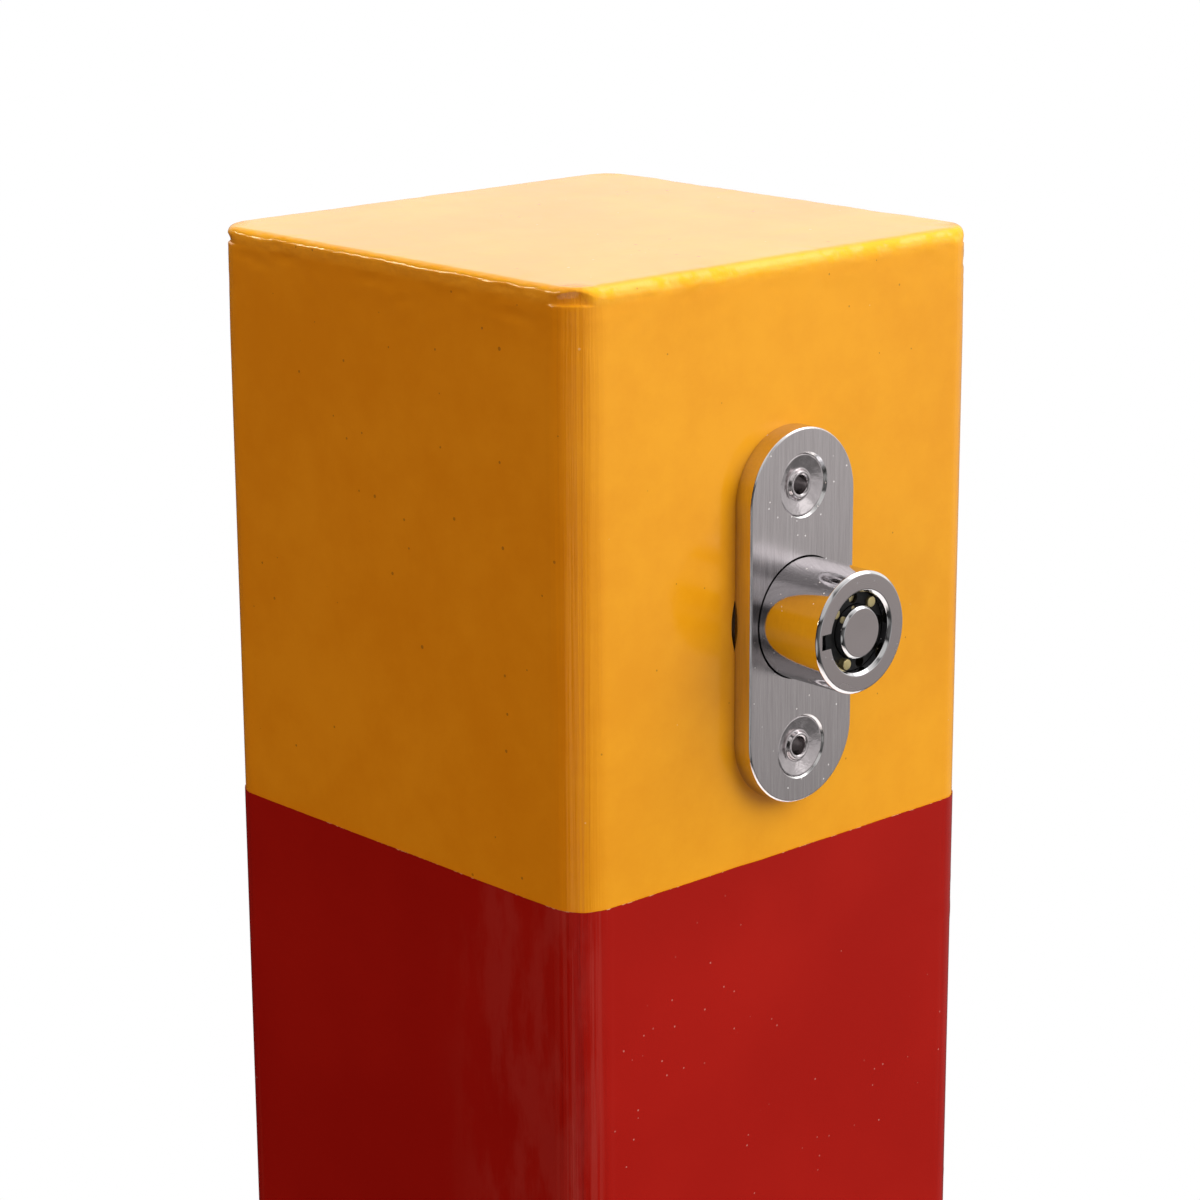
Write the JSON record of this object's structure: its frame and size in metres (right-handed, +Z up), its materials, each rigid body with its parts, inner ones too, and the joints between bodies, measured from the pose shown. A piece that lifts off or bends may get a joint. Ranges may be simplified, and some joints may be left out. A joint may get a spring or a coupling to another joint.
{
  "type": "folding parking bollard",
  "caption": "Square steel parking bollard that folds down about a hinge on its foot plate and is held upright by a push lock with a tubular keyway near its top.",
  "frame": {"origin": "centre of the foot plate's underside", "axes": "+Z up along the standing post, lock faces -Y, the post folds towards +Y"},
  "size_m": [0.16, 0.2, 0.9],
  "materials": {
    "yellow_paint": "gloss powder coat on steel",
    "red_film": "gloss adhesive film",
    "brushed_plate": "brushed along its length",
    "chrome": "polished side, turned face",
    "rivet_alloy": "plain",
    "zinc_steel": "zinc plated",
    "bare_steel": "drawn",
    "spring_steel": "oiled",
    "black_ring": "dark",
    "brass": "plain",
    "rubber": "matt",
    "white_nylon": "natural nylon"
  },
  "bodies": {
    "base": {"base_plate": "yellow_paint", "hinge_cheek_left": "yellow_paint", "hinge_cheek_right": "yellow_paint", "cheek_welds": "yellow_paint", "thrust_washers": "white_nylon", "hinge_washers": "zinc_steel", "hinge_bolt": "zinc_steel", "hinge_nut": "zinc_steel", "keeper_bar": "yellow_paint", "seat_pad": "rubber"},
    "post": {"post_tube": "yellow_paint", "top_cap": "yellow_paint", "red_band_upper": "red_film", "red_band_middle": "red_film", "red_band_lower": "red_film", "pivot_tube": "bare_steel", "upper_guide": "bare_steel", "lower_guide": "bare_steel", "lock_plate": "brushed_plate", "plate_rivets": "rivet_alloy", "rivet_mandrels": "bare_steel", "lock_barrel": "zinc_steel", "retaining_pin": "bare_steel", "return_spring": "spring_steel", "plunger_spring": "spring_steel"},
    "plunger": {"lock_plunger": "chrome", "latch_bolt": "zinc_steel"},
    "lock_core": {"core_spindle": "chrome", "core_ring": "black_ring", "tumbler_pins": "brass"},
    "rod": {"locking_rod": "bare_steel", "cam_head": "zinc_steel", "cam_pin": "bare_steel"}
  },
  "joints": [
    {"name": "post_fold", "type": "hinge", "parent": "base", "child": "post", "pos_m": [0, 0.018, 0.038], "axis": [-1, 0, 0], "range_deg": [0, 91.3]},
    {"name": "plunger_push", "type": "slide", "parent": "post", "child": "plunger", "axis": [0, 1, 0], "range_m": [0, 0.0095], "stiffness_N_per_m": 400, "springref_m": -0.015, "deforming": ["plunger_spring"]},
    {"name": "rod_drop", "type": "slide", "parent": "post", "child": "rod", "axis": [0, 0, -1], "range_m": [0, 0.0095], "stiffness_N_per_m": 800, "springref_m": -0.025, "deforming": ["return_spring"]},
    {"name": "key_turn", "type": "hinge", "parent": "plunger", "child": "lock_core", "pos_m": [0, -0.04, 0.85515], "axis": [0, 1, 0], "range_deg": [0, 90]}
  ],
  "couplings": [
    {"joint": "rod_drop", "follows": "plunger_push", "ratio": 1}
  ]
}
